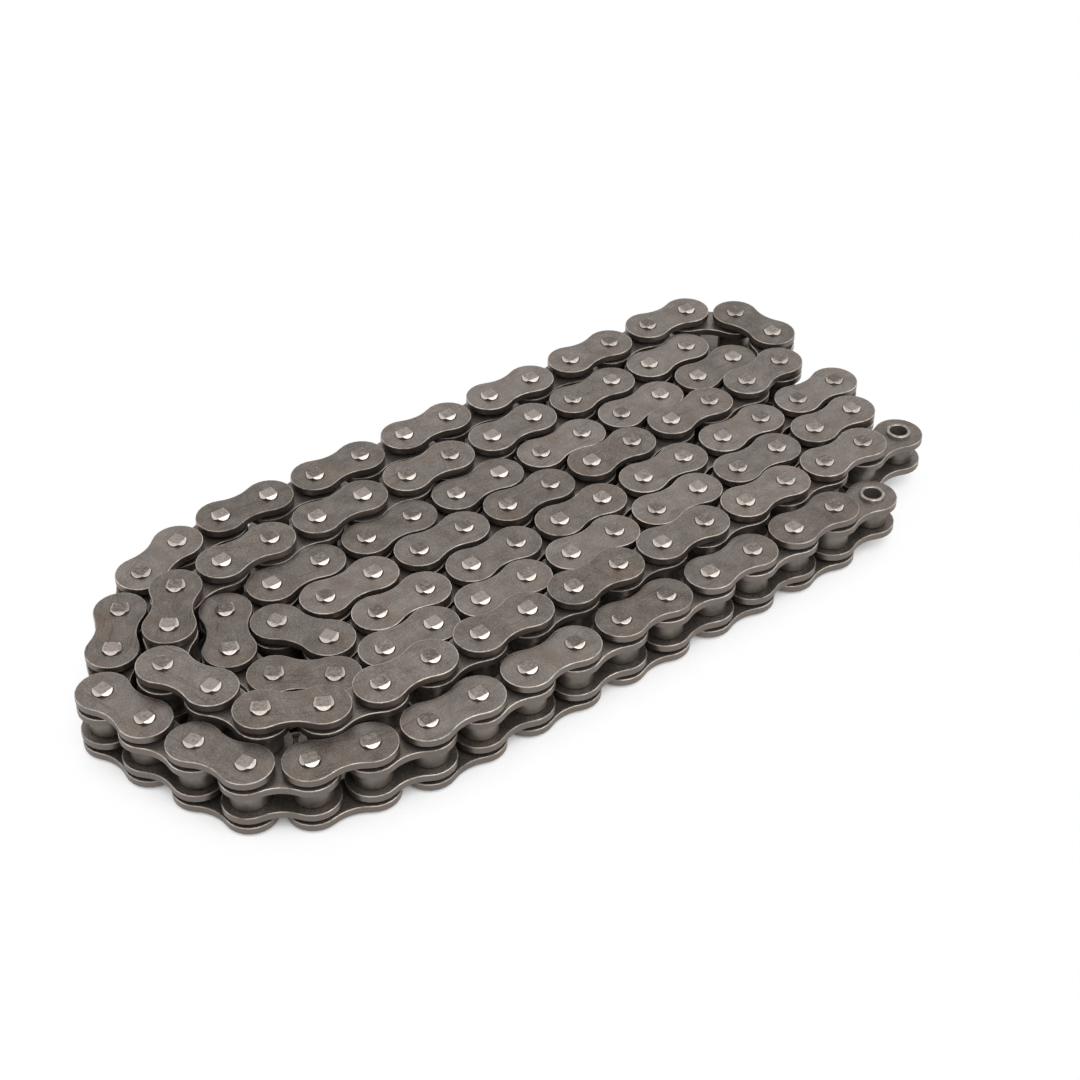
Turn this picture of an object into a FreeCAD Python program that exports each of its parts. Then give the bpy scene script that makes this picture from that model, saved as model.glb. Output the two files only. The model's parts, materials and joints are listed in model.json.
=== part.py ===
import FreeCAD, Part
import math
import os

# Drive chain of 119 links with a 5/8 inch pitch, lying on its side in a folded double spiral.
# Lengths are in millimetres and angles in degrees. X runs along the front row, Z is up, and the
# origin is under the middle of the lay, on the surface that the rivet heads stand on.

# Link plates. Their ends are rounded about the holes with a radius in proportion to the pitch, so that
# neighbouring rows nest. An outer plate is a hair smaller than an inner one.
PITCH = 15.875
PLATE_THICKNESS = 2.2
END_RADIUS_PER_PITCH = 0.46
OUTER_STEP_BACK = 0.05
WAIST_HALF_WIDTH = 5.5
INNER_END_RADIUS = END_RADIUS_PER_PITCH * PITCH
OUTER_END_RADIUS = INNER_END_RADIUS - OUTER_STEP_BACK

# Pins, and the bushes and rollers that turn on them, from the middle outwards
INNER_WIDTH = 6.35
PIN_DIAMETER = 5.24
HEAD_HEIGHT = 0.9
HEAD_SLOPE = 0.87
PIN_CLEARANCE = 0.05
BUSH_WALL = 0.98
ROLLER_CLEARANCE = 0.06
ROLLER_WALL = 1.37
ROLLER_END_CLEARANCE = 0.1
BUSH_BORE = PIN_DIAMETER + 2 * PIN_CLEARANCE
BUSH_DIAMETER = BUSH_BORE + 2 * BUSH_WALL
ROLLER_BORE = BUSH_DIAMETER + 2 * ROLLER_CLEARANCE
ROLLER_DIAMETER = ROLLER_BORE + 2 * ROLLER_WALL

# Seals: the gap that they fill between an outer and an inner plate. A bush reaches into it, but for its end
SEAL_GAP = 1.35
BUSH_END_CLEARANCE = 0.35
SEAL_WALL = 1.3
SEAL_CLEARANCE = 0.02
BUSH_PROUD = SEAL_GAP - BUSH_END_CLEARANCE

# The lay from free end A to free end B: how many links run one way, and their heading
LAY = (
    # Front row, then the wide turn at the left
    (10, 180),
    (1, 170), (1, 166), (1, 146), (1, 113), (1, 110), (1, 103), (1, 53), (1, 54), (1, 40), (1, 22), (1, 9),
    # Back row, then the wide turn at the right
    (10, -0.4),
    (1, -3), (1, -44), (1, -84), (1, -125), (1, -173),
    # Fourth row, the tight turn at its left end, fifth row and the tight turn at its right end
    (11, -178.4),
    (1, -62),
    (12, 1.2),
    (1, -115),
    # Sixth row, the inner left turn, third row and the tight turn at its right end
    (11, -179.2),
    (1, -179), (1, 141), (1, 105), (1, 63), (1, 6),
    (10, 1.4),
    (1, 4), (1, 118),
    # Second row, the middle left turn and the last row
    (11, -178.2),
    (1, -172), (1, -126), (1, -125), (1, -70), (1, -70), (1, -32), (1, -8),
    (12, 0.4),
)

# Humps, where the strand rides up by a little side play at each joint:
# first link that rises, links that rise, links that stay up, and links that come down
SIDE_STEP = 0.3
HUMPS = ((25, 7, 4, 7), (91, 15, 2, 12))

# Links that swing, counted from free end A: the free stretch of the front row, and the last link
TAIL_LINKS = 9

# Heights of the faces above the surface, worked out from the sizes above
OUTER_FACE = HEAD_HEIGHT
INNER_FACE = OUTER_FACE + PLATE_THICKNESS + SEAL_GAP
WIDTH_FACE = INNER_FACE + PLATE_THICKNESS
UPPER_INNER_FACE = WIDTH_FACE + INNER_WIDTH
UPPER_OUTER_FACE = UPPER_INNER_FACE + PLATE_THICKNESS + SEAL_GAP
PIN_LENGTH = UPPER_OUTER_FACE + PLATE_THICKNESS + HEAD_HEIGHT
BUSH_FACE = INNER_FACE - BUSH_PROUD
BUSH_LENGTH = UPPER_INNER_FACE + PLATE_THICKNESS + BUSH_PROUD - BUSH_FACE

UP = FreeCAD.Vector(0, 0, 1)


def tube(outer_diameter, bore, length, base):
    """A plain ring or tube that stands on the height base."""
    foot = FreeCAD.Vector(0, 0, base)
    wall = Part.makeCylinder(outer_diameter / 2, length, foot, UP)
    return wall.cut(Part.makeCylinder(bore / 2, length, foot, UP))


def plate(end_radius, hole_diameter, base):
    """A waisted link plate: two round ends about the holes, joined by two hollow arcs tangent to them."""
    half = PITCH / 2
    rise = end_radius - WAIST_HALF_WIDTH
    waist_radius = (half ** 2 + WAIST_HALF_WIDTH ** 2 - end_radius ** 2) / (2 * rise)
    share = end_radius / (end_radius + waist_radius)
    touch_x = half * share
    touch_y = (WAIST_HALF_WIDTH + waist_radius) * share

    def at(x, y):
        return FreeCAD.Vector(x, y, base)

    near_end = Part.Arc(at(touch_x, touch_y), at(-end_radius, 0), at(touch_x, -touch_y))
    near_side = Part.Arc(at(touch_x, -touch_y), at(half, -WAIST_HALF_WIDTH), at(PITCH - touch_x, -touch_y))
    far_end = Part.Arc(at(PITCH - touch_x, -touch_y), at(PITCH + end_radius, 0), at(PITCH - touch_x, touch_y))
    far_side = Part.Arc(at(PITCH - touch_x, touch_y), at(half, WAIST_HALF_WIDTH), at(touch_x, touch_y))
    outline = Part.Wire([arc.toShape() for arc in (near_end, near_side, far_end, far_side)])
    blank = Part.Face(outline).extrude(UP * PLATE_THICKNESS)
    for x in (0, PITCH):
        blank = blank.cut(Part.makeCylinder(hole_diameter / 2, PLATE_THICKNESS, at(x, 0), UP))
    return blank


def staked_pin():
    """A riveted pin: both ends are pressed to four slopes round a square flat, in line with the link."""
    radius = PIN_DIAMETER / 2
    bar = Part.makeBox(PIN_DIAMETER, PIN_DIAMETER, PIN_LENGTH, FreeCAD.Vector(-radius, -radius, 0))
    rims = [edge for edge in bar.Edges if edge.BoundBox.ZLength < HEAD_SLOPE]
    return Part.makeCylinder(radius, PIN_LENGTH).common(bar.makeChamfer(HEAD_SLOPE, rims))


def link_ends(shape):
    """The same shape at both hinges of a link."""
    far = shape.copy()
    far.translate(FreeCAD.Vector(PITCH, 0, 0))
    return [shape, far]


def lower_seal():
    """A seal ring round the end of a bush, on the underside of the lower inner plate."""
    inner = BUSH_DIAMETER + 2 * SEAL_CLEARANCE
    return tube(inner + 2 * SEAL_WALL, inner, BUSH_PROUD, BUSH_FACE)


def upper_seal():
    """A seal ring round the end of a bush, on top of the upper inner plate."""
    seal = lower_seal()
    seal.translate(UP * (BUSH_LENGTH - BUSH_PROUD))
    return seal


# Pieces of one link, each made once at the origin with the link along +X
ROLLER = tube(ROLLER_DIAMETER, ROLLER_BORE, INNER_WIDTH - 2 * ROLLER_END_CLEARANCE, WIDTH_FACE + ROLLER_END_CLEARANCE)
OUTER_LOWER = [plate(OUTER_END_RADIUS, PIN_DIAMETER, OUTER_FACE)]
OUTER_UPPER = [plate(OUTER_END_RADIUS, PIN_DIAMETER, UPPER_OUTER_FACE)]
INNER_LOWER = [plate(INNER_END_RADIUS, BUSH_DIAMETER, INNER_FACE)]
INNER_UPPER = [plate(INNER_END_RADIUS, BUSH_DIAMETER, UPPER_INNER_FACE)]
PINS = link_ends(staked_pin())
BUSHES = link_ends(tube(BUSH_DIAMETER, BUSH_BORE, BUSH_LENGTH, BUSH_FACE))
ROLLERS = link_ends(ROLLER)
LOWER_SEALS = link_ends(lower_seal())
UPPER_SEALS = link_ends(upper_seal())


def link_heights(count):
    """How far each link is lifted by the humps, one side step at each joint."""
    heights = [0.0] * count
    for first, rising, held, falling in HUMPS:
        for link in range(first - 1, count):
            up = min(link - first + 2, rising)
            down = min(max(link - first + 2 - rising - held, 0), falling)
            heights[link] += SIDE_STEP * (up - down)
    return heights


def walk():
    """Places the links one pitch apart along the lay, centred on the origin, as (x, y, z, heading)."""
    headings = [heading for number, heading in LAY for _ in range(number)]
    heights = link_heights(len(headings))
    x, y = 0.0, 0.0
    hinges = [(x, y)]
    for heading in headings:
        x += PITCH * math.cos(math.radians(heading))
        y += PITCH * math.sin(math.radians(heading))
        hinges.append((x, y))
    middle_x = (min(p[0] for p in hinges) + max(p[0] for p in hinges)) / 2
    middle_y = (min(p[1] for p in hinges) + max(p[1] for p in hinges)) / 2
    return [(p[0] - middle_x, p[1] - middle_y, z, heading) for p, z, heading in zip(hinges, heights, headings)]


def placed(shapes, spot):
    """Copies of the shapes of one link, moved to its place in the lay."""
    x, y, z, heading = spot
    place = FreeCAD.Placement(FreeCAD.Vector(x, y, z), FreeCAD.Rotation(UP, heading))
    copies = []
    for shape in shapes:
        copy = shape.copy()
        copy.Placement = place.multiply(shape.Placement)
        copies.append(copy)
    return copies


def save(name, shapes):
    """Writes one node, as one solid or as a group of separate solids."""
    body = shapes[0] if len(shapes) == 1 else Part.makeCompound(shapes)
    body.exportStep("parts/" + name + ".step")


def save_inner_link(number, spot, pinned):
    """An inner link that swings: its plates and bushes, the seal rings at the hinges that have a pin,
    and two rollers that turn by themselves."""
    name = "link_%03d_" % number
    seals = [seal for pair in (LOWER_SEALS, UPPER_SEALS) for seal, pin in zip(pair, pinned) if pin]
    save(name + "inner_plates", placed(INNER_LOWER + INNER_UPPER, spot))
    save(name + "bushes", placed(BUSHES, spot))
    save(name + "seal_rings", placed(seals, spot))
    for side, roller in zip("ab", placed(ROLLERS, spot)):
        save(name + "roller_" + side, [roller])


def save_outer_link(number, spot):
    """An outer link that swings: its plates and its two riveted pins."""
    name = "link_%03d_" % number
    save(name + "outer_plates", placed(OUTER_LOWER + OUTER_UPPER, spot))
    save(name + "pins", placed(PINS, spot))


def save_coil(outer_spots, inner_spots):
    """The links that stay where they lie, with the pieces of one kind together."""
    kinds = (
        ("coil_lower_outer_plates", OUTER_LOWER, outer_spots),
        ("coil_upper_outer_plates", OUTER_UPPER, outer_spots),
        ("coil_pins", PINS, outer_spots),
        ("coil_lower_inner_plates", INNER_LOWER, inner_spots),
        ("coil_upper_inner_plates", INNER_UPPER, inner_spots),
        ("coil_bushes", BUSHES, inner_spots),
        ("coil_rollers", ROLLERS, inner_spots),
    )
    for name, shapes, spots in kinds:
        save(name, [copy for spot in spots for copy in placed(shapes, spot)])


# Both free ends are inner links, so the odd links are inner and the even ones are outer.
# The first hinge of the first link and the second hinge of the last one are open bushes.
os.makedirs("parts", exist_ok=True)
coil_outer, coil_inner = [], []
spots = walk()
for number, spot in enumerate(spots, start=1):
    swings = number <= TAIL_LINKS or number == len(spots)
    if number % 2 == 1:
        if swings:
            save_inner_link(number, spot, (number > 1, number < len(spots)))
        else:
            coil_inner.append(spot)
    elif swings:
        save_outer_link(number, spot)
    else:
        coil_outer.append(spot)
save_coil(coil_outer, coil_inner)
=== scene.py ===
import json
import math

import bmesh
import bpy
import numpy as np
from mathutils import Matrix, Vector


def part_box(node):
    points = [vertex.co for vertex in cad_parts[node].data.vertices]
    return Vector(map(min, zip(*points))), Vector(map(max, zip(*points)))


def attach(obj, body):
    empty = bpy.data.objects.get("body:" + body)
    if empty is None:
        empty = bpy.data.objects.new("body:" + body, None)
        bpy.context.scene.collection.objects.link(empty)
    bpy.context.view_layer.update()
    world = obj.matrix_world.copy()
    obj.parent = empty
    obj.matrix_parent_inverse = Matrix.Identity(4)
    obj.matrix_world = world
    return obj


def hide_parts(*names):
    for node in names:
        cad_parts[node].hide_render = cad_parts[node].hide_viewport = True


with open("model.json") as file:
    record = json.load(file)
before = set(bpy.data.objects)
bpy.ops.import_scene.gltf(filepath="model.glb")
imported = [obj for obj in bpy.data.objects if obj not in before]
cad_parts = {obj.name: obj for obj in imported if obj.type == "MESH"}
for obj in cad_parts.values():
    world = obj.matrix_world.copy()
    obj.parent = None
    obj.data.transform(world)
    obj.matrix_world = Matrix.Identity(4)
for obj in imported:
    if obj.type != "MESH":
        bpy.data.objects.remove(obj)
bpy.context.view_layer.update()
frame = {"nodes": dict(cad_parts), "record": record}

# Drive chain of 119 links with seal rings, lying on its side in a folded double spiral.
# Sizes are in millimetres, and are turned to metres where a mesh is made.
MM = 0.001

# Outer link plates
# Waisted plates blanked from 2.2 mm spring steel, rounded on the edge by tumbling, blackened and
# oiled. Each is pressed on two pins, so it shows a flat oiled face, a thin worn rim that is also painted
# light as a highlight, and a sheared side.
PITCH = 15.875
PLATE_THICKNESS = 2.2
INNER_END_RADIUS = 0.46 * PITCH
OUTER_END_RADIUS = INNER_END_RADIUS - 0.05
WAIST_HALF_WIDTH = 5.5
PIN_DIAMETER = 5.24
EDGE_ROUNDING = 0.22
BURR_CHAMFER = 0.15
END_STEPS = 16
WAIST_STEPS = 3
SEAM_STEPS = 2
PLATE_SMOOTH_ANGLE = 20
WELD = 0.001

# Colours and finish of the plates
PLATE_FACE_DARK = "#554E48"
PLATE_FACE_LIGHT = "#88807A"
PLATE_STAIN = "#705D4E"
# Light worn steel of the tumbling marks and rubbed rings, also used as the painted highlight on the plates'
# rim
PLATE_WORN_AND_HIGHLIGHT = "#D6CCC1"
PLATE_SHEARED_SIDE = "#746B65"
# Dark of the scratches and pits, also used as the painted shadow at the foot of each pin head
PLATE_DARK_MARKS_AND_SHADOW = "#37332F"
PLATE_METALLIC = 0.8
PLATE_SMOOTHEST = 0.31
PLATE_ROUGHEST = 0.42
SIDE_BARER = 0.14
SIDE_ROUGHER = 0.03

# Widths of the oxide's patches and grain, of the oil stains and of the worn stretches of the rim. The
# real grain is finer than 0.4 mm, and is drawn at that width so that it shows
OXIDE_PATCH = 5
OXIDE_GRAIN = 0.4
STAIN_PATCH = 9
WEAR_PATCH = 4

# Marks for each millimetre along and across them, coarser than the real ones so that they show, and
# how far the long scratches wander
TUMBLING_MARKS = (0.45, 3.0, 1.0)
SCRATCH_MARKS = (0.09, 2.3, 1.0)
SCRATCH_ANGLE = 63
SCRATCH_WANDER = (2.5, 2.5, 0.0)
SCRATCH_BENDS = 0.12
MARK_TURN = 40.0

# Distances from the hole's middle, and depths from the rim, between which a mark fades in
RING_RUBBED_OUTER = 5.6
RING_RUBBED_FULL = 3.4
RINGS_PER_MM = 3.0
# Where the dark ring at the foot of each head fades in: oil, deepened into a painted shadow
FOOT_OIL_SHADOW_OUTER = 3.05
FOOT_OIL_SHADOW_FULL = 2.75
# Where the rim is painted light, as worn oxide and as a painted highlight
RIM_WEAR_HIGHLIGHT_INNER = 0.26
RIM_WEAR_HIGHLIGHT_FULL = 0.16
RIM_WEAR_HIGHLIGHT_LOWER = 0.25
RIM_WEAR_HIGHLIGHT_TOP = 0.15
SIDE_EDGE = 0.1
DRAW_START = 0.15
DRAW_END = 1.1
DRAW_DEPTH = 2.2
PLATE_RELIEF = 0.06

# A Mix node's colour sockets have no names of their own: from, to and result
MIX_FROM = 6
MIX_TO = 7
MIXED = 2


def linear(hex_colour):
    """An sRGB hex colour as the linear colour with alpha that a shader's socket takes."""
    parts = [int(hex_colour[i:i + 2], 16) / 255 for i in (1, 3, 5)]
    return tuple(c / 12.92 if c <= 0.04045 else ((c + 0.055) / 1.055) ** 2.4 for c in parts) + (1.0,)


def add_node(tree, kind, inputs=None, **settings):
    """Adds a node to a tree with its settings, and sets or links each input that is named or numbered."""
    node = tree.nodes.new(kind)
    for name, value in settings.items():
        setattr(node, name, value)
    for name, value in (inputs or {}).items():
        if isinstance(value, bpy.types.NodeSocket):
            tree.links.new(value, node.inputs[name])
        else:
            node.inputs[name].default_value = value
    return node


def per_metre(size):
    """The noise scale that makes a patch this many millimetres wide."""
    return 1 / (size * MM)


def solid_boxes(node):
    """Lowest and highest corner of each separate solid of a CAD node, in the same order at each run. A
    dict keeps the corners in order, which a set doesn't."""
    shape = bmesh.new()
    shape.from_mesh(frame["nodes"][node].data)
    bmesh.ops.remove_doubles(shape, verts=shape.verts, dist=WELD * MM)
    unseen = dict.fromkeys(shape.verts)
    boxes = []
    while unseen:
        front = [unseen.popitem()[0]]
        solid = list(front)
        while front:
            vert = front.pop()
            for edge in vert.link_edges:
                other = edge.other_vert(vert)
                if other in unseen:
                    del unseen[other]
                    front.append(other)
                    solid.append(other)
        corners = np.array([vert.co for vert in solid])
        boxes.append((corners.min(axis=0), corners.max(axis=0)))
    shape.free()
    return boxes


def spots(node, partner):
    """Where each solid of a node lies, as x, y, underside and heading. The heading points at the
    nearest solid of the partner node that doesn't stand in line with it."""
    partners = [(low + high)[:2] / 2 for low, high in solid_boxes(partner)]
    found = []
    for low, high in solid_boxes(node):
        middle = (low + high)[:2] / 2
        aims = [other - middle for other in partners if np.linalg.norm(other - middle) > MM]
        aim = min(aims, key=np.linalg.norm)
        found.append((middle[0], middle[1], low[2], math.atan2(aim[1], aim[0])))
    return sorted(found, key=lambda spot: tuple(round(value, 5) for value in spot))


def layout_tree():
    """Geometry Nodes that put a copy of a shape at each point, turned to the point's heading, and
    give each copy a shade of its own between 0 and 1."""
    tree = bpy.data.node_groups.new("pieces on the lay", "GeometryNodeTree")
    tree.interface.new_socket("Geometry", in_out="INPUT", socket_type="NodeSocketGeometry")
    tree.interface.new_socket("Shape", in_out="INPUT", socket_type="NodeSocketObject")
    tree.interface.new_socket("Finish", in_out="INPUT", socket_type="NodeSocketMaterial")
    tree.interface.new_socket("Seed", in_out="INPUT", socket_type="NodeSocketInt")
    tree.interface.new_socket("Geometry", in_out="OUTPUT", socket_type="NodeSocketGeometry")
    given = add_node(tree, "NodeGroupInput")
    shape = add_node(tree, "GeometryNodeObjectInfo", {
        "Object": given.outputs["Shape"],
        "As Instance": True})
    heading = add_node(tree, "GeometryNodeInputNamedAttribute", {"Name": "heading"}, data_type="FLOAT")
    angles = add_node(tree, "ShaderNodeCombineXYZ", {"Z": heading.outputs["Attribute"]})
    turn = add_node(tree, "FunctionNodeEulerToRotation", {"Euler": angles.outputs["Vector"]})
    copies = add_node(tree, "GeometryNodeInstanceOnPoints", {
        "Points": given.outputs["Geometry"],
        "Instance": shape.outputs["Geometry"],
        "Rotation": turn.outputs["Rotation"]})
    chance = add_node(tree, "FunctionNodeRandomValue", {"Seed": given.outputs["Seed"]}, data_type="FLOAT")
    shaded = add_node(tree, "GeometryNodeStoreNamedAttribute", {
        "Geometry": copies.outputs["Instances"],
        "Name": "shade",
        "Value": chance.outputs[1]}, data_type="FLOAT", domain="INSTANCE")
    real = add_node(tree, "GeometryNodeRealizeInstances", {"Geometry": shaded.outputs["Geometry"]})
    finished = add_node(tree, "GeometryNodeSetMaterial", {
        "Geometry": real.outputs["Geometry"],
        "Material": given.outputs["Finish"]})
    add_node(tree, "NodeGroupOutput", {"Geometry": finished.outputs["Geometry"]})
    return tree


LAYOUT = layout_tree()
BODY_OF = {node: body for body, nodes in frame["record"]["behaviour"]["bodies"].items() for node in nodes}


def lay_pieces(name, shape, places, finish, seed):
    """One plain mesh object with a copy of the shape at each place."""
    points = bpy.data.meshes.new(name)
    points.from_pydata([place[:3] for place in places], [], [])
    headings = points.attributes.new("heading", "FLOAT", "POINT")
    headings.data.foreach_set("value", [place[3] for place in places])
    piece = bpy.data.objects.new(name, points)
    bpy.context.scene.collection.objects.link(piece)
    modifier = piece.modifiers.new("lay", "NODES")
    modifier.node_group = LAYOUT
    inputs = {item.name: item.identifier for item in LAYOUT.interface.items_tree if item.in_out == "INPUT"}
    modifier[inputs["Shape"]] = shape
    modifier[inputs["Finish"]] = finish
    modifier[inputs["Seed"]] = seed
    graph = bpy.context.evaluated_depsgraph_get()
    mesh = bpy.data.meshes.new_from_object(
        piece.evaluated_get(graph), preserve_all_data_layers=True, depsgraph=graph)
    mesh.name = name
    piece.modifiers.clear()
    piece.data = mesh
    bpy.data.meshes.remove(points)
    return piece


def dress(node, places, shape, finish, seed):
    """Puts a copy of the shape at each place, instead of a CAD node and on that node's own body."""
    piece = lay_pieces("made_" + node, shape, places, finish, seed)
    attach(piece, BODY_OF[node])
    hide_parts(node)


def dress_each(kind, shape, finish, coil_partner, link_partner):
    """Dresses each CAD node whose name holds the kind. Its solids head for those of a partner, which is
    a node of the coil, or the node with this ending on the same link."""
    for seed, node in enumerate(sorted(BODY_OF)):
        if kind in node:
            link = BODY_OF[node].split("_roller_")[0]
            partner = coil_partner if link == "coil" else link + link_partner
            dress(node, spots(node, partner), shape, finish, seed)


def pattern_object(name, mesh, smooth_angle):
    """A shape to be copied, with smooth rounds and with edges left sharp above an angle in degrees."""
    mesh.shade_smooth()
    mesh.set_sharp_from_angle(angle=math.radians(smooth_angle))
    shape = bpy.data.objects.new(name, mesh)
    bpy.context.scene.collection.objects.link(shape)
    return shape


def retire(shape):
    """Takes a shape out of the scene once its copies are made."""
    bpy.data.objects.remove(shape)


def half_outline(end_radius, inset):
    """Points round one half of a plate's outline, pulled in by an inset, round its hole at (PITCH / 2, 0).
    They run from the middle of one waist round the end to the middle of the other."""
    half = PITCH / 2
    narrowing = end_radius - WAIST_HALF_WIDTH
    waist_radius = (half ** 2 + WAIST_HALF_WIDTH ** 2 - end_radius ** 2) / (2 * narrowing)
    waist_centre = WAIST_HALF_WIDTH + waist_radius
    tangent = math.atan2(waist_centre, -half)
    waist_turn = math.atan2(half, waist_centre)
    lower = []
    for step in range(WAIST_STEPS):
        angle = waist_turn * step / WAIST_STEPS
        reach = waist_radius + inset
        lower.append((reach * math.sin(angle), -waist_centre + reach * math.cos(angle)))
    end = []
    for step in range(END_STEPS + 1):
        angle = -tangent + 2 * tangent * step / END_STEPS
        reach = end_radius - inset
        end.append((half + reach * math.cos(angle), reach * math.sin(angle)))
    upper = [(x, -y) for x, y in reversed(lower)]
    return lower + end + upper


def plate_shape(name, end_radius, hole_diameter):
    """A plate about its own middle, with its underside at height 0. Its upper edge is rounded and its
    lower one is barely broken. Each corner carries its place in the plate and its depth from the rim."""
    side = PLATE_THICKNESS
    rounding = [(EDGE_ROUNDING * (1 - math.sin(a)), side - EDGE_ROUNDING * (1 - math.cos(a)))
                for a in (0, math.pi / 4, math.pi / 2)]
    profile = rounding + [(0, BURR_CHAMFER), (BURR_CHAMFER, 0)]
    seam = [1 - 2 * (step + 1) / (SEAM_STEPS + 1) for step in range(SEAM_STEPS)]
    hole_radius = hole_diameter / 2
    hole_depth = end_radius - hole_radius
    verts, depths, faces = [], [], []

    def ring(points, height, depth):
        start = len(verts)
        verts.extend((x, y, height) for x, y in points)
        depths.extend([depth] * len(points))
        return list(range(start, start + len(points)))

    def joined(first, second, closed):
        count = len(first) if closed else len(first) - 1
        for i in range(count):
            j = (i + 1) % len(first)
            faces.append((first[i], first[j], second[j], second[i]))

    for half_turn in (1, -1):
        rims = [half_outline(end_radius, inset) for inset, _ in profile]
        rings = []
        for rim, (inset, height) in zip(rims, profile):
            rings.append(ring([(half_turn * x, half_turn * y) for x, y in rim], height, inset))
        hole_rings = []
        for level in (0, -1):
            inset, height = profile[level]
            waist = WAIST_HALF_WIDTH - inset
            seam_ring = ring([(0, half_turn * waist * part) for part in seam], height, waist)
            around = rims[level] + [(0, waist * part) for part in seam]
            angles = [math.atan2(y, x - PITCH / 2) for x, y in around]
            hole = []
            for a in angles:
                x = PITCH / 2 + hole_radius * math.cos(a)
                y = hole_radius * math.sin(a)
                hole.append((half_turn * x, half_turn * y))
            hole_rings.append(ring(hole, height, hole_depth))
            if level == 0:
                joined(hole_rings[0], rings[0] + seam_ring, True)
            else:
                joined(rings[-1] + seam_ring, hole_rings[1], True)
        for upper, lower in zip(rings, rings[1:]):
            joined(upper, lower, False)
        joined(hole_rings[1], hole_rings[0], True)
    mesh = bpy.data.meshes.new(name)
    mesh.from_pydata([(x * MM, y * MM, z * MM) for x, y, z in verts], [], faces)
    own_place = mesh.attributes.new("own_place", "FLOAT_VECTOR", "POINT")
    own_place.data.foreach_set("vector", np.array(verts, dtype=float).ravel())
    rim_depth = mesh.attributes.new("rim_depth", "FLOAT", "POINT")
    rim_depth.data.foreach_set("value", depths)
    shape = bmesh.new()
    shape.from_mesh(mesh)
    bmesh.ops.remove_doubles(shape, verts=shape.verts, dist=WELD * MM)
    bmesh.ops.recalc_face_normals(shape, faces=shape.faces)
    shape.to_mesh(mesh)
    shape.free()
    return pattern_object(name, mesh, PLATE_SMOOTH_ANGLE)


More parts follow.
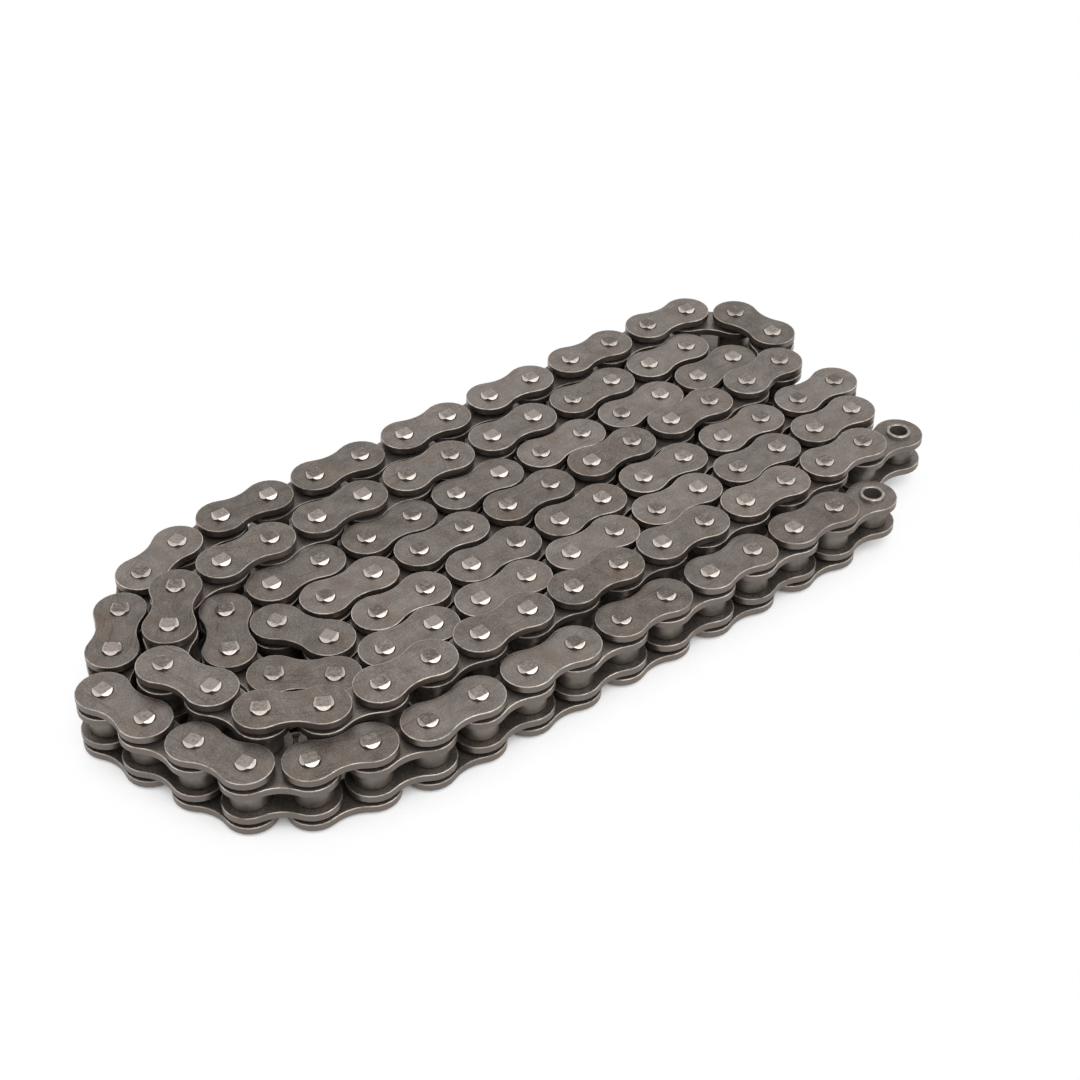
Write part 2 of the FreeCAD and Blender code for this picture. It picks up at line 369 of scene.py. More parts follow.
def plate_finish(name, seed_offset):
    """Blackened and oiled spring steel: a satin brown-grey with faint tumbling marks, a bright worn rim that
    is also a painted highlight, rings rubbed round the pin, a dark ring at the head's foot that is partly a
    painted shadow, and a sheared side that is barer metal."""
    material = bpy.data.materials.new(name)
    material.use_nodes = True
    tree = material.node_tree
    shader = tree.nodes["Principled BSDF"]
    place = add_node(tree, "ShaderNodeTexCoord").outputs["Object"]
    own = add_node(tree, "ShaderNodeAttribute", attribute_name="own_place").outputs["Vector"]
    depth = add_node(tree, "ShaderNodeAttribute", attribute_name="rim_depth").outputs["Fac"]
    shade = add_node(tree, "ShaderNodeAttribute", attribute_name="shade").outputs["Fac"]

    # Uneven oxide in patches and in a fine grain, a little lighter or darker on each plate, and oil stains
    patches = add_node(tree, "ShaderNodeTexNoise", {
        "Vector": place, "W": seed_offset, "Scale": per_metre(OXIDE_PATCH), "Detail": 4, "Roughness": 0.6},
        noise_dimensions="4D").outputs["Fac"]
    grain = add_node(tree, "ShaderNodeTexNoise", {
        "Vector": place, "W": seed_offset, "Scale": per_metre(OXIDE_GRAIN), "Detail": 2, "Roughness": 0.6},
        noise_dimensions="4D").outputs["Fac"]
    lean = add_node(tree, "ShaderNodeMath", {
        0: shade, 1: 0.32, 2: -0.16}, operation="MULTIPLY_ADD").outputs[0]
    patch_tone = add_node(tree, "ShaderNodeMath", {0: patches, 1: lean}, operation="ADD").outputs[0]
    tone = add_node(tree, "ShaderNodeMath", {
        0: grain, 1: 1.4, 2: patch_tone}, operation="MULTIPLY_ADD").outputs[0]
    spread = add_node(tree, "ShaderNodeMapRange", {
        "Value": tone, "From Min": 0.85, "From Max": 1.55}).outputs["Result"]
    face = add_node(tree, "ShaderNodeMix", {
        "Factor": spread, MIX_FROM: linear(PLATE_FACE_DARK), MIX_TO: linear(PLATE_FACE_LIGHT)},
        data_type="RGBA").outputs[MIXED]
    stain_noise = add_node(tree, "ShaderNodeTexNoise", {
        "Vector": place, "W": seed_offset + 3,
        "Scale": per_metre(STAIN_PATCH), "Detail": 5, "Roughness": 0.65},
        noise_dimensions="4D").outputs["Fac"]
    stain_share = add_node(tree, "ShaderNodeMapRange", {
        "Value": stain_noise, "From Min": 0.5, "From Max": 0.7, "To Max": 0.55}).outputs["Result"]
    stained = add_node(tree, "ShaderNodeMix", {
        "Factor": stain_share, MIX_FROM: face, MIX_TO: linear(PLATE_STAIN)},
        data_type="RGBA").outputs[MIXED]

    # Fine bright tumbling marks all one way, turned for each plate
    turn = add_node(tree, "ShaderNodeMath", {0: shade, 1: MARK_TURN}, operation="MULTIPLY").outputs[0]
    swung = add_node(tree, "ShaderNodeVectorRotate", {
        "Vector": own, "Angle": turn}, rotation_type="Z_AXIS").outputs[0]
    drawn = add_node(tree, "ShaderNodeMapping", {"Vector": swung, "Scale": TUMBLING_MARKS}).outputs[0]
    marks = add_node(tree, "ShaderNodeTexNoise", {
        "Vector": drawn, "W": turn, "Scale": 1.0, "Detail": 3, "Roughness": 0.6},
        noise_dimensions="4D").outputs["Fac"]
    mark_share = add_node(tree, "ShaderNodeMapRange", {
        "Value": marks, "From Min": 0.54, "From Max": 0.8, "To Max": 0.18}).outputs["Result"]
    marked = add_node(tree, "ShaderNodeMix", {
        "Factor": mark_share, MIX_FROM: stained, MIX_TO: linear(PLATE_WORN_AND_HIGHLIGHT)},
        data_type="RGBA").outputs[MIXED]

    # A few long dark scratches another way, which wander a little, and dark pits in the grain
    bent = add_node(tree, "ShaderNodeTexNoise", {
        "Vector": own, "Scale": SCRATCH_BENDS, "Detail": 1}).outputs["Color"]
    wavy = add_node(tree, "ShaderNodeVectorMath", {
        0: bent, 1: SCRATCH_WANDER, 2: own}, operation="MULTIPLY_ADD").outputs[0]
    crossed = add_node(tree, "ShaderNodeMapping", {
        "Vector": wavy, "Rotation": (0, 0, math.radians(SCRATCH_ANGLE)), "Scale": SCRATCH_MARKS}).outputs[0]
    scratch_noise = add_node(tree, "ShaderNodeTexNoise", {
        "Vector": crossed, "W": turn, "Scale": 1.0, "Detail": 1, "Roughness": 0.4},
        noise_dimensions="4D").outputs["Fac"]
    scratches = add_node(tree, "ShaderNodeMapRange", {
        "Value": scratch_noise, "From Min": 0.63, "From Max": 0.7, "To Max": 0.38}).outputs["Result"]
    pits = add_node(tree, "ShaderNodeMapRange", {
        "Value": grain, "From Min": 0.36, "From Max": 0.27, "To Max": 0.4}).outputs["Result"]
    dark_share = add_node(tree, "ShaderNodeMath", {0: scratches, 1: pits}, operation="MAXIMUM").outputs[0]
    scratched = add_node(tree, "ShaderNodeMix", {
        "Factor": dark_share, MIX_FROM: marked, MIX_TO: linear(PLATE_DARK_MARKS_AND_SHADOW)},
        data_type="RGBA").outputs[MIXED]

    # Rings rubbed round the pin, and a dark ring at the foot of the head that is partly oil drawn in and
    # partly a painted contact shadow
    parts = add_node(tree, "ShaderNodeSeparateXYZ", {0: own}).outputs
    aside = add_node(tree, "ShaderNodeMath", {0: parts["X"]}, operation="ABSOLUTE").outputs[0]
    from_hole = add_node(tree, "ShaderNodeMath", {0: aside, 1: PITCH / 2}, operation="SUBTRACT").outputs[0]
    flat = add_node(tree, "ShaderNodeCombineXYZ", {"X": from_hole, "Y": parts["Y"]}).outputs[0]
    reach = add_node(tree, "ShaderNodeVectorMath", {0: flat}, operation="LENGTH").outputs["Value"]
    arcs = add_node(tree, "ShaderNodeTexNoise", {
        "W": reach, "Scale": RINGS_PER_MM, "Detail": 2, "Roughness": 0.6},
        noise_dimensions="1D").outputs["Fac"]
    arc_zone = add_node(tree, "ShaderNodeMapRange", {
        "Value": reach, "From Min": RING_RUBBED_OUTER, "From Max": RING_RUBBED_FULL}).outputs["Result"]
    arc_breaks = add_node(tree, "ShaderNodeMapRange", {
        "Value": patches, "From Min": 0.42, "From Max": 0.6}).outputs["Result"]
    arc_rub = add_node(tree, "ShaderNodeMapRange", {
        "Value": arcs, "From Min": 0.52, "From Max": 0.7, "To Max": 0.2}).outputs["Result"]
    arc_part = add_node(tree, "ShaderNodeMath", {0: arc_zone, 1: arc_rub}, operation="MULTIPLY").outputs[0]
    arc_share = add_node(tree, "ShaderNodeMath", {
        0: arc_part, 1: arc_breaks}, operation="MULTIPLY").outputs[0]
    rubbed = add_node(tree, "ShaderNodeMix", {
        "Factor": arc_share, MIX_FROM: scratched, MIX_TO: linear(PLATE_WORN_AND_HIGHLIGHT)},
        data_type="RGBA").outputs[MIXED]
    foot_oil_and_shadow_share = add_node(tree, "ShaderNodeMapRange", {
        "Value": reach, "From Min": FOOT_OIL_SHADOW_OUTER, "From Max": FOOT_OIL_SHADOW_FULL,
        "To Max": 0.7}).outputs["Result"]
    oiled_and_shadowed = add_node(tree, "ShaderNodeMix", {
        "Factor": foot_oil_and_shadow_share, MIX_FROM: rubbed, MIX_TO: linear(PLATE_DARK_MARKS_AND_SHADOW)},
        data_type="RGBA").outputs[MIXED]

    # The sheared side below the rounded edge, and the rim where the oxide has worn through in places. The
    # rim's light colour is also a painted highlight along the rounded upper edge.
    side_share = add_node(tree, "ShaderNodeMapRange", {
        "Value": depth, "From Min": SIDE_EDGE, "From Max": 0.0, "To Max": 0.8}).outputs["Result"]
    sided = add_node(tree, "ShaderNodeMix", {
        "Factor": side_share, MIX_FROM: oiled_and_shadowed, MIX_TO: linear(PLATE_SHEARED_SIDE)},
        data_type="RGBA").outputs[MIXED]
    rim_inside = add_node(tree, "ShaderNodeMapRange", {
        "Value": depth, "From Min": RIM_WEAR_HIGHLIGHT_INNER, "From Max": RIM_WEAR_HIGHLIGHT_FULL}).outputs["Result"]
    rim_height = add_node(tree, "ShaderNodeMapRange", {
        "Value": parts["Z"],
        "From Min": PLATE_THICKNESS - RIM_WEAR_HIGHLIGHT_LOWER,
        "From Max": PLATE_THICKNESS - RIM_WEAR_HIGHLIGHT_TOP}).outputs["Result"]
    rim_noise = add_node(tree, "ShaderNodeTexNoise", {
        "Vector": place, "Scale": per_metre(WEAR_PATCH), "Detail": 6, "Roughness": 0.7}).outputs["Fac"]
    rim_wear = add_node(tree, "ShaderNodeMapRange", {
        "Value": rim_noise, "From Min": 0.34, "From Max": 0.6, "To Min": 0.08}).outputs["Result"]
    rim_wear_highlight_zone = add_node(tree, "ShaderNodeMath", {
        0: rim_inside, 1: rim_height}, operation="MULTIPLY").outputs[0]
    own_wear = add_node(tree, "ShaderNodeMapRange", {
        "Value": shade, "To Min": 0.6, "To Max": 1.15}).outputs["Result"]
    worn_and_highlit_rim = add_node(tree, "ShaderNodeMath", {0: rim_wear, 1: own_wear}, operation="MULTIPLY").outputs[0]
    rim_wear_and_highlight_share = add_node(tree, "ShaderNodeMath", {0: rim_wear_highlight_zone, 1: worn_and_highlit_rim}, operation="MULTIPLY").outputs[0]
    worn_and_highlit = add_node(tree, "ShaderNodeMix", {
        "Factor": rim_wear_and_highlight_share, MIX_FROM: sided, MIX_TO: linear(PLATE_WORN_AND_HIGHLIGHT)},
        data_type="RGBA").outputs[MIXED]

    # Gloss follows the patches of oil, and the side is a little rougher and barer than the face
    dull = add_node(tree, "ShaderNodeMapRange", {
        "Value": patches, "From Min": 0.3, "From Max": 0.7,
        "To Min": PLATE_SMOOTHEST, "To Max": PLATE_ROUGHEST}).outputs["Result"]
    side_dull = add_node(tree, "ShaderNodeMath", {
        0: side_share, 1: SIDE_ROUGHER, 2: dull}, operation="MULTIPLY_ADD").outputs[0]
    bare = add_node(tree, "ShaderNodeMath", {
        0: side_share, 1: SIDE_BARER, 2: PLATE_METALLIC}, operation="MULTIPLY_ADD").outputs[0]

    # Marks and scratches are cut into the grain, and the blanking die draws the face down at the rim
    cut_in = add_node(tree, "ShaderNodeMath", {
        0: scratches, 1: -0.8, 2: grain}, operation="MULTIPLY_ADD").outputs[0]
    struck = add_node(tree, "ShaderNodeMath", {
        0: marks, 1: -0.5, 2: cut_in}, operation="MULTIPLY_ADD").outputs[0]
    drawn_down = add_node(tree, "ShaderNodeMapRange", {
        "Value": depth, "From Min": DRAW_START, "From Max": DRAW_END, "To Max": DRAW_DEPTH},
        interpolation_type="SMOOTHSTEP").outputs["Result"]
    relief = add_node(tree, "ShaderNodeMath", {0: struck, 1: drawn_down}, operation="ADD").outputs[0]
    bump = add_node(tree, "ShaderNodeBump", {
        "Height": relief, "Strength": 0.5, "Distance": PLATE_RELIEF * MM}).outputs["Normal"]
    tree.links.new(worn_and_highlit, shader.inputs["Base Color"])
    tree.links.new(side_dull, shader.inputs["Roughness"])
    tree.links.new(bare, shader.inputs["Metallic"])
    tree.links.new(bump, shader.inputs["Normal"])
    return material


outer_plate = plate_shape("outer_plate", OUTER_END_RADIUS, PIN_DIAMETER)
outer_finish = plate_finish("blackened spring steel, outer plates", 0.0)
dress_each("outer_plates", outer_plate, outer_finish, "coil_pins", "_pins")
retire(outer_plate)

# Inner link plates
# The same steel and thickness as the outer plates and a hair wider at the ends, pressed on the two
# bushes. They carry the rollers between them and show at the sides of the strand and at its free ends.
BUSH_DIAMETER = 7.3
INNER_SEED_OFFSET = 7.0

inner_plate = plate_shape("inner_plate", INNER_END_RADIUS, BUSH_DIAMETER)
inner_finish = plate_finish("blackened spring steel, inner plates", INNER_SEED_OFFSET)
dress_each("inner_plates", inner_plate, inner_finish, "coil_bushes", "_bushes")
retire(inner_plate)

# Riveted pins
# Ground steel pins. A punch spreads each end over its plate and presses four bright slopes round a
# square flat, which keeps the dark oiled surface. Each slope is painted lighter towards its outer edge, as a
# highlight.
PIN_LENGTH = 19.65
HEAD_HEIGHT = 0.9
HEAD_DIAMETER = 5.3
HEAD_FLAT = 3.65
HEAD_FLAT_SQUARENESS = 6
HEAD_SLOPE = 0.95
HEAD_LEAST_SLOPE = 0.06
HEAD_FOOT = 0.12
HEAD_FOOT_BREAK = 0.02
PIN_STEPS = 32
PIN_SMOOTH_ANGLE = 22

# Punched slopes, mixed by fine specks and by a painted highlight that runs from shaded near the flat to light
# at the outer edge
HEAD_PRESSED_SHADED = "#91877F"
HEAD_PRESSED_HIGHLIT = "#CFC5BD"
HEAD_TOP_DARK = "#635B55"
HEAD_TOP_LIGHT = "#9C938C"
PIN_SHANK = "#7A736C"
PIN_METALLIC = 0.9
PIN_SPECK = 0.9
PIN_RELIEF = 0.08

# Values of the attribute pressed, by which the finish tells the flats, the shank and the slopes apart.
# Across a slope the value rises from top to edge, and the finish paints the slope lighter outwards with it,
# as a highlight.
ON_FLAT = 0.0
ON_SHANK = 0.3
ON_SLOPE_TOP = 0.7
ON_SLOPE_EDGE = 1.0


def pin_shape():
    """A pin with both ends staked, standing at height 0. The attribute pressed says what each corner is
    on, and on a slope it runs from the flat to the outer edge, which the finish uses to paint a highlight
    that lightens the slope outwards."""
    verts, faces, marks = [], [], []
    angles = [2 * math.pi * step / PIN_STEPS for step in range(PIN_STEPS)]
    wall = HEAD_DIAMETER / 2
    flat = HEAD_FLAT / 2
    power = HEAD_FLAT_SQUARENESS

    def ring(points):
        start = len(verts)
        verts.extend(points)
        return list(range(start, start + len(points)))

    def level(radius, height):
        return [(radius * math.cos(a), radius * math.sin(a), height) for a in angles]

    square, brow = [], []
    for a in angles:
        across = abs(math.cos(a)), abs(math.sin(a))
        reach = flat / (across[0] ** power + across[1] ** power) ** (1 / power)
        drop = max(wall * max(across) - flat, HEAD_LEAST_SLOPE) * HEAD_SLOPE
        square.append((reach * math.cos(a), reach * math.sin(a), 0))
        brow.append((wall * math.cos(a), wall * math.sin(a), min(drop, HEAD_HEIGHT - HEAD_FOOT)))
    lower_flat = ring(square)
    lower_brow = ring(brow)
    lower_wall = ring(level(wall, HEAD_HEIGHT - HEAD_FOOT + HEAD_FOOT_BREAK))
    lower_foot = ring(level(PIN_DIAMETER / 2, HEAD_HEIGHT))
    upper_foot = ring(level(PIN_DIAMETER / 2, PIN_LENGTH - HEAD_HEIGHT))
    upper_wall = ring(level(wall, PIN_LENGTH - HEAD_HEIGHT + HEAD_FOOT - HEAD_FOOT_BREAK))
    upper_brow = ring([(x, y, PIN_LENGTH - z) for x, y, z in brow])
    upper_flat = ring([(x, y, PIN_LENGTH - z) for x, y, z in square])
    rings = [lower_flat, lower_brow, lower_wall, lower_foot, upper_foot, upper_wall, upper_brow, upper_flat]
    faces.append(tuple(reversed(lower_flat)))
    marks.extend([ON_FLAT] * PIN_STEPS)
    for below, above in zip(rings, rings[1:]):
        below_mark, above_mark = ON_SHANK, ON_SHANK
        if below is lower_flat:
            below_mark, above_mark = ON_SLOPE_TOP, ON_SLOPE_EDGE
        if above is upper_flat:
            below_mark, above_mark = ON_SLOPE_EDGE, ON_SLOPE_TOP
        for i in range(PIN_STEPS):
            j = (i + 1) % PIN_STEPS
            faces.append((below[i], below[j], above[j], above[i]))
            marks.extend([below_mark, below_mark, above_mark, above_mark])
    faces.append(tuple(upper_flat))
    marks.extend([ON_FLAT] * PIN_STEPS)
    mesh = bpy.data.meshes.new("pin")
    mesh.from_pydata([(x * MM, y * MM, z * MM) for x, y, z in verts], [], faces)
    pressed = mesh.attributes.new("pressed", "FLOAT", "CORNER")
    pressed.data.foreach_set("value", marks)
    own_place = mesh.attributes.new("own_place", "FLOAT_VECTOR", "POINT")
    own_place.data.foreach_set("vector", np.array(verts, dtype=float).ravel())
    return pattern_object("pin", mesh, PIN_SMOOTH_ANGLE)


def pin_finish():
    """Ground and hardened pin steel, bright where the punch has pressed it, with each pressed slope painted
    lighter towards its outer edge as a highlight, and oiled elsewhere.
    """
    material = bpy.data.materials.new("hardened pin steel")
    material.use_nodes = True
    tree = material.node_tree
    shader = tree.nodes["Principled BSDF"]
    place = add_node(tree, "ShaderNodeTexCoord").outputs["Object"]
    pressed = add_node(tree, "ShaderNodeAttribute", attribute_name="pressed").outputs["Fac"]
    shade = add_node(tree, "ShaderNodeAttribute", attribute_name="shade").outputs["Fac"]
    specks = add_node(tree, "ShaderNodeTexNoise", {
        "Vector": place, "Scale": per_metre(PIN_SPECK), "Detail": 4, "Roughness": 0.6}).outputs["Fac"]
    lean = add_node(tree, "ShaderNodeMath", {0: shade, 1: 0.4, 2: -0.2}, operation="MULTIPLY_ADD").outputs[0]
    tone = add_node(tree, "ShaderNodeMath", {0: specks, 1: lean}, operation="ADD").outputs[0]
    spread = add_node(tree, "ShaderNodeMapRange", {
        "Value": tone, "From Min": 0.3, "From Max": 0.7}).outputs["Result"]
    top = add_node(tree, "ShaderNodeMix", {
        "Factor": spread, MIX_FROM: linear(HEAD_TOP_DARK), MIX_TO: linear(HEAD_TOP_LIGHT)},
        data_type="RGBA").outputs[MIXED]
    slope_share = add_node(tree, "ShaderNodeMapRange", {
        "Value": pressed, "From Min": 0.5, "From Max": 0.6}).outputs["Result"]
    shank_share = add_node(tree, "ShaderNodeMapRange", {
        "Value": pressed, "From Min": 0.1, "From Max": 0.2}).outputs["Result"]
    with_shank = add_node(tree, "ShaderNodeMix", {
        "Factor": shank_share, MIX_FROM: top, MIX_TO: linear(PIN_SHANK)},
        data_type="RGBA").outputs[MIXED]
    # Each slope is painted lighter towards its outer edge as a highlight, and speckled
    speck_and_outward_highlight = add_node(tree, "ShaderNodeMath", {
        0: tone, 1: 0.6, 2: pressed}, operation="MULTIPLY_ADD").outputs[0]
    slope_speck_and_highlight_share = add_node(tree, "ShaderNodeMapRange", {
        "Value": speck_and_outward_highlight, "From Min": 0.9, "From Max": 1.25}).outputs["Result"]
    slope = add_node(tree, "ShaderNodeMix", {
        "Factor": slope_speck_and_highlight_share, MIX_FROM: linear(HEAD_PRESSED_SHADED), MIX_TO: linear(HEAD_PRESSED_HIGHLIT)},
        data_type="RGBA").outputs[MIXED]
    colour = add_node(tree, "ShaderNodeMix", {
        "Factor": slope_share, MIX_FROM: with_shank, MIX_TO: slope},
        data_type="RGBA").outputs[MIXED]
    dull = add_node(tree, "ShaderNodeMapRange", {
        "Value": specks, "From Min": 0.3, "From Max": 0.7, "To Min": 0.3, "To Max": 0.42}).outputs["Result"]
    bump = add_node(tree, "ShaderNodeBump", {
        "Height": specks, "Strength": 0.4, "Distance": PIN_RELIEF * MM}).outputs["Normal"]
    tree.links.new(colour, shader.inputs["Base Color"])
    tree.links.new(dull, shader.inputs["Roughness"])
    tree.links.new(bump, shader.inputs["Normal"])
    shader.inputs["Metallic"].default_value = PIN_METALLIC
    return material


pin = pin_shape()
pin_steel = pin_finish()
dress_each("_pins", pin, pin_steel, "coil_lower_outer_plates", "_outer_plates")
retire(pin)

# Bushes
# Ground tubes pressed through the inner plates, about 1 mm proud at both ends. At the free ends of
# the chain their rims show, bright, with a bevel down into a dark bore.
BUSH_BORE = 5.34
BUSH_LENGTH = 12.75
BUSH_BEVEL = 0.2
BUSH_BREAK = 0.2
BUSH_SMOOTH_ANGLE = 30
TURNED_STEPS = 28

BUSH_STEEL_DARK = "#7D766F"
BUSH_STEEL_LIGHT = "#B3ACA4"
BORE_STEEL = "#8A847E"
BUSH_ROUGHNESS = 0.34
BUSH_PATCH = 1.5
TURNED_METALLIC = 0.8
TURNED_RELIEF = 0.03
ROUGHNESS_SPREAD = 0.06
BORE_OIL_EDGE = 0.12
BORE_OIL_FULL = 0.02

# Turning marks for each millimetre round and along a tube, coarser than the real ones so that they show
TURNING_MARKS = (0.06, 0.06, 5)


def turned_shape(name, profile, steps, smooth_angle):
    """A shape turned on a lathe: a closed profile of radius and height, which runs up the outside."""
    verts, faces = [], []
    for step in range(steps):
        angle = 2 * math.pi * step / steps
        verts.extend((r * math.cos(angle), r * math.sin(angle), z) for r, z in profile)
    count = len(profile)
    for step in range(steps):
        here = step * count
        there = (step + 1) % steps * count
        for i in range(count):
            j = (i + 1) % count
            faces.append((here + i, there + i, there + j, here + j))
    mesh = bpy.data.meshes.new(name)
    mesh.from_pydata([(x * MM, y * MM, z * MM) for x, y, z in verts], [], faces)
    own_place = mesh.attributes.new("own_place", "FLOAT_VECTOR", "POINT")
    own_place.data.foreach_set("vector", np.array(verts, dtype=float).ravel())
    return pattern_object(name, mesh, smooth_angle)


def turned_finish(name, dark, light, bore, roughness, patch):
    """Ground steel with uneven oil on it: a dark and a light tone in patches, fine turning marks, and a
    bore of one even oiled tone."""
    material = bpy.data.materials.new(name)
    material.use_nodes = True
    tree = material.node_tree
    shader = tree.nodes["Principled BSDF"]
    place = add_node(tree, "ShaderNodeTexCoord").outputs["Object"]
    shade = add_node(tree, "ShaderNodeAttribute", attribute_name="shade").outputs["Fac"]
    patches = add_node(tree, "ShaderNodeTexNoise", {
        "Vector": place, "Scale": per_metre(patch), "Detail": 4, "Roughness": 0.6}).outputs["Fac"]
    lean = add_node(tree, "ShaderNodeMath", {
        0: shade, 1: 0.3, 2: -0.15}, operation="MULTIPLY_ADD").outputs[0]
    tone = add_node(tree, "ShaderNodeMath", {0: patches, 1: lean}, operation="ADD").outputs[0]
    spread = add_node(tree, "ShaderNodeMapRange", {
        "Value": tone, "From Min": 0.3, "From Max": 0.7}).outputs["Result"]
    ground = add_node(tree, "ShaderNodeMix", {
        "Factor": spread, MIX_FROM: linear(dark), MIX_TO: linear(light)},
        data_type="RGBA").outputs[MIXED]
    own = add_node(tree, "ShaderNodeAttribute", attribute_name="own_place").outputs["Vector"]
    level = add_node(tree, "ShaderNodeVectorMath", {0: own, 1: (1, 1, 0)}, operation="MULTIPLY").outputs[0]
    radius = add_node(tree, "ShaderNodeVectorMath", {0: level}, operation="LENGTH").outputs["Value"]
    bore_share = add_node(tree, "ShaderNodeMapRange", {
        "Value": radius,
        "From Min": bore + BORE_OIL_EDGE, "From Max": bore + BORE_OIL_FULL}).outputs["Result"]
    bored = add_node(tree, "ShaderNodeMix", {
        "Factor": bore_share, MIX_FROM: ground, MIX_TO: linear(BORE_STEEL)},
        data_type="RGBA").outputs[MIXED]
    marks_place = add_node(tree, "ShaderNodeMapping", {"Vector": own, "Scale": TURNING_MARKS}).outputs[0]
    marks = add_node(tree, "ShaderNodeTexNoise", {
        "Vector": marks_place, "Scale": 1.0, "Detail": 2}).outputs["Fac"]
    dull = add_node(tree, "ShaderNodeMapRange", {
        "Value": patches, "From Min": 0.3, "From Max": 0.7,
        "To Min": roughness - ROUGHNESS_SPREAD, "To Max": roughness + ROUGHNESS_SPREAD}).outputs["Result"]
    bump = add_node(tree, "ShaderNodeBump", {
        "Height": marks, "Strength": 0.25, "Distance": TURNED_RELIEF * MM}).outputs["Normal"]
    tree.links.new(bored, shader.inputs["Base Color"])
    tree.links.new(dull, shader.inputs["Roughness"])
    tree.links.new(bump, shader.inputs["Normal"])
    shader.inputs["Metallic"].default_value = TURNED_METALLIC
    return material


bush_wall = BUSH_DIAMETER / 2
bush_bore = BUSH_BORE / 2
bush_profile = [
    (bush_wall, BUSH_BREAK),
    (bush_wall, BUSH_LENGTH - BUSH_BREAK),
    (bush_wall - BUSH_BREAK, BUSH_LENGTH),
    (bush_bore + BUSH_BEVEL, BUSH_LENGTH),
    (bush_bore, BUSH_LENGTH - BUSH_BEVEL),
    (bush_bore, BUSH_BEVEL),
    (bush_bore + BUSH_BEVEL, 0),
    (bush_wall - BUSH_BREAK, 0)]
bush = turned_shape("bush", bush_profile, TURNED_STEPS, BUSH_SMOOTH_ANGLE)
bush_steel = turned_finish(
    "ground bush steel", BUSH_STEEL_DARK, BUSH_STEEL_LIGHT, bush_bore, BUSH_ROUGHNESS, BUSH_PATCH)
dress_each("_bushes", bush, bush_steel, "coil_lower_inner_plates", "_inner_plates")
retire(bush)

# Rollers
# Smooth steel tubes, loose on the bushes between the inner plates, with softly rounded ends. A film
# of oil leaves them darker and duller than the bushes.
ROLLER_DIAMETER = 10.16
ROLLER_BORE = 7.42
ROLLER_LENGTH = 6.15
ROLLER_ROUNDING = 0.35
ROLLER_SMOOTH_ANGLE = 50

ROLLER_STEEL_DARK = "#605A54"
ROLLER_STEEL_LIGHT = "#847D76"
ROLLER_ROUGHNESS = 0.45
ROLLER_PATCH = 4.0

roller_wall = ROLLER_DIAMETER / 2
roller_bore = ROLLER_BORE / 2
half_rounding = ROLLER_ROUNDING * (1 - math.sqrt(0.5))
roller_profile = [
    (roller_wall, ROLLER_ROUNDING),
    (roller_wall, ROLLER_LENGTH - ROLLER_ROUNDING),
    (roller_wall - half_rounding, ROLLER_LENGTH - half_rounding),
    (roller_wall - ROLLER_ROUNDING, ROLLER_LENGTH),
    (roller_bore, ROLLER_LENGTH),
    (roller_bore, 0),
    (roller_wall - ROLLER_ROUNDING, 0),
    (roller_wall - half_rounding, half_rounding)]
roller = turned_shape("roller", roller_profile, TURNED_STEPS, ROLLER_SMOOTH_ANGLE)
roller_steel = turned_finish(
    "oiled roller steel", ROLLER_STEEL_DARK, ROLLER_STEEL_LIGHT, roller_bore, ROLLER_ROUGHNESS, ROLLER_PATCH)
dress_each("_roller", roller, roller_steel, "coil_lower_inner_plates", "_inner_plates")
retire(roller)

# Seal rings
# Black nitrile rings squeezed between each inner and outer plate, round the ends of the bushes. They
# keep the grease in, and show as the dark line between the plates.
SEAL_HEIGHT = 1.3
SEAL_WALL = 1.3
SEAL_CLEARANCE = 0.02
SEAL_SHOULDER_IN = 0.25
SEAL_SHOULDER_DOWN = 0.35
BUSH_PROUD = 1.0
SEAL_STEPS = 20
SEAL_SMOOTH_ANGLE = 60

SEAL_RUBBER_DARK = "#2B2927"
SEAL_RUBBER_LIGHT = "#403D3A"
GREASE_PATCH = 1.2


def seal_finish():
    """Nitrile rubber with grease on it: near black, matt, with wet patches."""
    material = bpy.data.materials.new("greased nitrile rubber")
    material.use_nodes = True
    tree = material.node_tree
    shader = tree.nodes["Principled BSDF"]
    place = add_node(tree, "ShaderNodeTexCoord").outputs["Object"]
    patches = add_node(tree, "ShaderNodeTexNoise", {
        "Vector": place, "Scale": per_metre(GREASE_PATCH), "Detail": 3}).outputs["Fac"]
    colour = add_node(tree, "ShaderNodeMix", {
        "Factor": patches, MIX_FROM: linear(SEAL_RUBBER_DARK), MIX_TO: linear(SEAL_RUBBER_LIGHT)},
        data_type="RGBA").outputs[MIXED]
    dull = add_node(tree, "ShaderNodeMapRange", {
        "Value": patches, "From Min": 0.35, "From Max": 0.65,
        "To Min": 0.35, "To Max": 0.7}).outputs["Result"]
    tree.links.new(colour, shader.inputs["Base Color"])
    tree.links.new(dull, shader.inputs["Roughness"])
    return material


seal_in = BUSH_DIAMETER / 2 + SEAL_CLEARANCE
seal_out = seal_in + SEAL_WALL
seal_profile = [
    (seal_out - SEAL_SHOULDER_IN, 0),
    (seal_out, SEAL_SHOULDER_DOWN),
    (seal_out, SEAL_HEIGHT - SEAL_SHOULDER_DOWN),
    (seal_out - SEAL_SHOULDER_IN, SEAL_HEIGHT),
    (seal_in, SEAL_HEIGHT),
    (seal_in, 0)]
seal = turned_shape("seal", seal_profile, SEAL_STEPS, SEAL_SMOOTH_ANGLE)
seal_rubber = seal_finish()

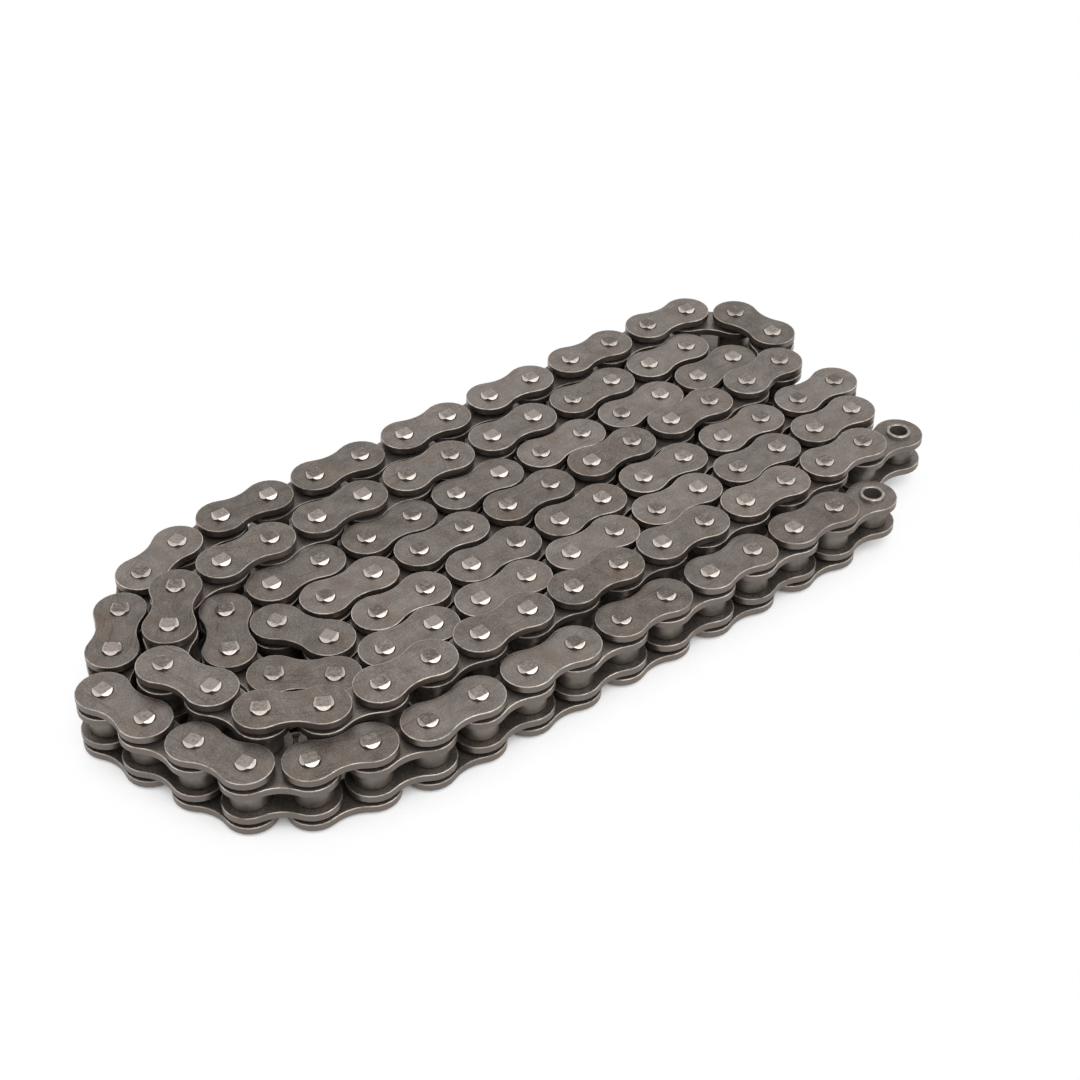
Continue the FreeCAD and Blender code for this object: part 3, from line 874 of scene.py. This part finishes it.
# Each ring lies against its inner plate and reaches this far past the end of the bush
overhang = (SEAL_HEIGHT - BUSH_PROUD) * MM
for seed, node in enumerate(sorted(BODY_OF)):
    if node.endswith("_seal_rings"):
        plates = BODY_OF[node] + "_inner_plates"
        middle_height = (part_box(plates)[0].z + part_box(plates)[1].z) / 2
        rings = []
        for x, y, z, heading in spots(node, plates):
            rings.append((x, y, z - overhang if z < middle_height else z, heading))
        dress(node, rings, seal, seal_rubber, seed)
coil_rings = []
for x, y, z, heading in spots("coil_bushes", "coil_lower_inner_plates"):
    coil_rings.append((x, y, z - overhang, heading))
    coil_rings.append((x, y, z + (BUSH_LENGTH - BUSH_PROUD) * MM, heading))
coil_seals = lay_pieces("coil_seal_rings", seal, coil_rings, seal_rubber, 0)
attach(coil_seals, "coil")
retire(seal)

# Floor
# A plain white sheet of paper without an edge in view. It renders white in the open, keeps a soft
# shadow beside the chain, and goes dark where it is shut in between the rows.
FLOOR_SIZE = 6000
FLOOR_SHADOW_REACH = 22
FLOOR_SHADOW_SAMPLES = 4
FLOOR_SHUT_IN = 0.05
FLOOR_OPEN = 0.62
FLOOR_GLOW = 1.0
PAPER_WHITE = "#D2D2D2"
PAPER_ROUGHNESS = 0.9

floor_mesh = bpy.data.meshes.new("floor")
edge = FLOOR_SIZE / 2 * MM
floor_mesh.from_pydata(
    [(-edge, -edge, 0), (edge, -edge, 0), (edge, edge, 0), (-edge, edge, 0)], [], [(0, 1, 2, 3)])
floor = bpy.data.objects.new("floor", floor_mesh)
bpy.context.scene.collection.objects.link(floor)
paper = bpy.data.materials.new("white paper")
paper.use_nodes = True
paper_tree = paper.node_tree
sheet = paper_tree.nodes["Principled BSDF"]
sheet.inputs["Base Color"].default_value = linear(PAPER_WHITE)
sheet.inputs["Roughness"].default_value = PAPER_ROUGHNESS
rays = add_node(paper_tree, "ShaderNodeLightPath").outputs
seen = add_node(paper_tree, "ShaderNodeMath", {
    0: rays["Is Camera Ray"], 1: rays["Is Glossy Ray"]}, operation="MAXIMUM").outputs[0]
openness = add_node(paper_tree, "ShaderNodeAmbientOcclusion", {
    "Distance": FLOOR_SHADOW_REACH * MM}, samples=FLOOR_SHADOW_SAMPLES).outputs["AO"]
open_share = add_node(paper_tree, "ShaderNodeMapRange", {
    "Value": openness, "From Min": FLOOR_SHUT_IN, "From Max": FLOOR_OPEN,
    "To Max": FLOOR_GLOW}).outputs["Result"]
glow_share = add_node(paper_tree, "ShaderNodeMath", {0: seen, 1: open_share}, operation="MULTIPLY").outputs[0]
glow = add_node(paper_tree, "ShaderNodeEmission", {"Color": (1, 1, 1, 1), "Strength": 1.0})
white = add_node(paper_tree, "ShaderNodeMixShader", {0: glow_share, 1: sheet.outputs[0], 2: glow.outputs[0]})
paper_tree.links.new(white.outputs[0], paper_tree.nodes["Material Output"].inputs["Surface"])
floor_mesh.materials.append(paper)

# Light
# A wide soft lamp stands above the chain and in front of it, in a white room that fills the shadows.
LAMP_HEIGHT = 560
LAMP_SIDE = 600
LAMP_OFFSET = (60, -420)
LAMP_POWER = 3.0
ROOM_LIGHT = 1.0

lamp_data = bpy.data.lights.new("softbox", "AREA")
lamp_data.shape = "SQUARE"
lamp_data.size = LAMP_SIDE * MM
lamp_data.energy = LAMP_POWER
lamp = bpy.data.objects.new("softbox", lamp_data)
lamp.location = (LAMP_OFFSET[0] * MM, LAMP_OFFSET[1] * MM, LAMP_HEIGHT * MM)
lamp.rotation_euler = (-lamp.location).to_track_quat("-Z", "Y").to_euler()
bpy.context.scene.collection.objects.link(lamp)

room = bpy.data.worlds.new("white room")
room.use_nodes = True
bpy.context.scene.world = room
room_walls = room.node_tree.nodes["Background"]
room_walls.inputs["Color"].default_value = (1, 1, 1, 1)
room_walls.inputs["Strength"].default_value = ROOM_LIGHT

# Camera
# It stands in front of the chain and to its left, and looks down at it from 39 degrees above the floor.
CAMERA_AIM = (1.115, -13.295, 19.65)
CAMERA_DISTANCE = 554.34
CAMERA_AZIMUTH = -38.0
CAMERA_ELEVATION = 38.894
CAMERA_CLIP = 10
LENS = 65.96
SENSOR = 36.0

azimuth = math.radians(CAMERA_AZIMUTH)
elevation = math.radians(CAMERA_ELEVATION)
back = Vector((
    math.sin(azimuth) * math.cos(elevation),
    -math.cos(azimuth) * math.cos(elevation),
    math.sin(elevation)))
camera_data = bpy.data.cameras.new("camera")
camera_data.lens = LENS
camera_data.sensor_width = SENSOR
camera_data.clip_start = CAMERA_CLIP * MM
camera = bpy.data.objects.new("camera", camera_data)
camera.location = (Vector(CAMERA_AIM) + back * CAMERA_DISTANCE) * MM
camera.rotation_euler = (-back).to_track_quat("-Z", "Y").to_euler()
bpy.context.scene.collection.objects.link(camera)
bpy.context.scene.camera = camera
bpy.context.scene.view_settings.view_transform = "Standard"
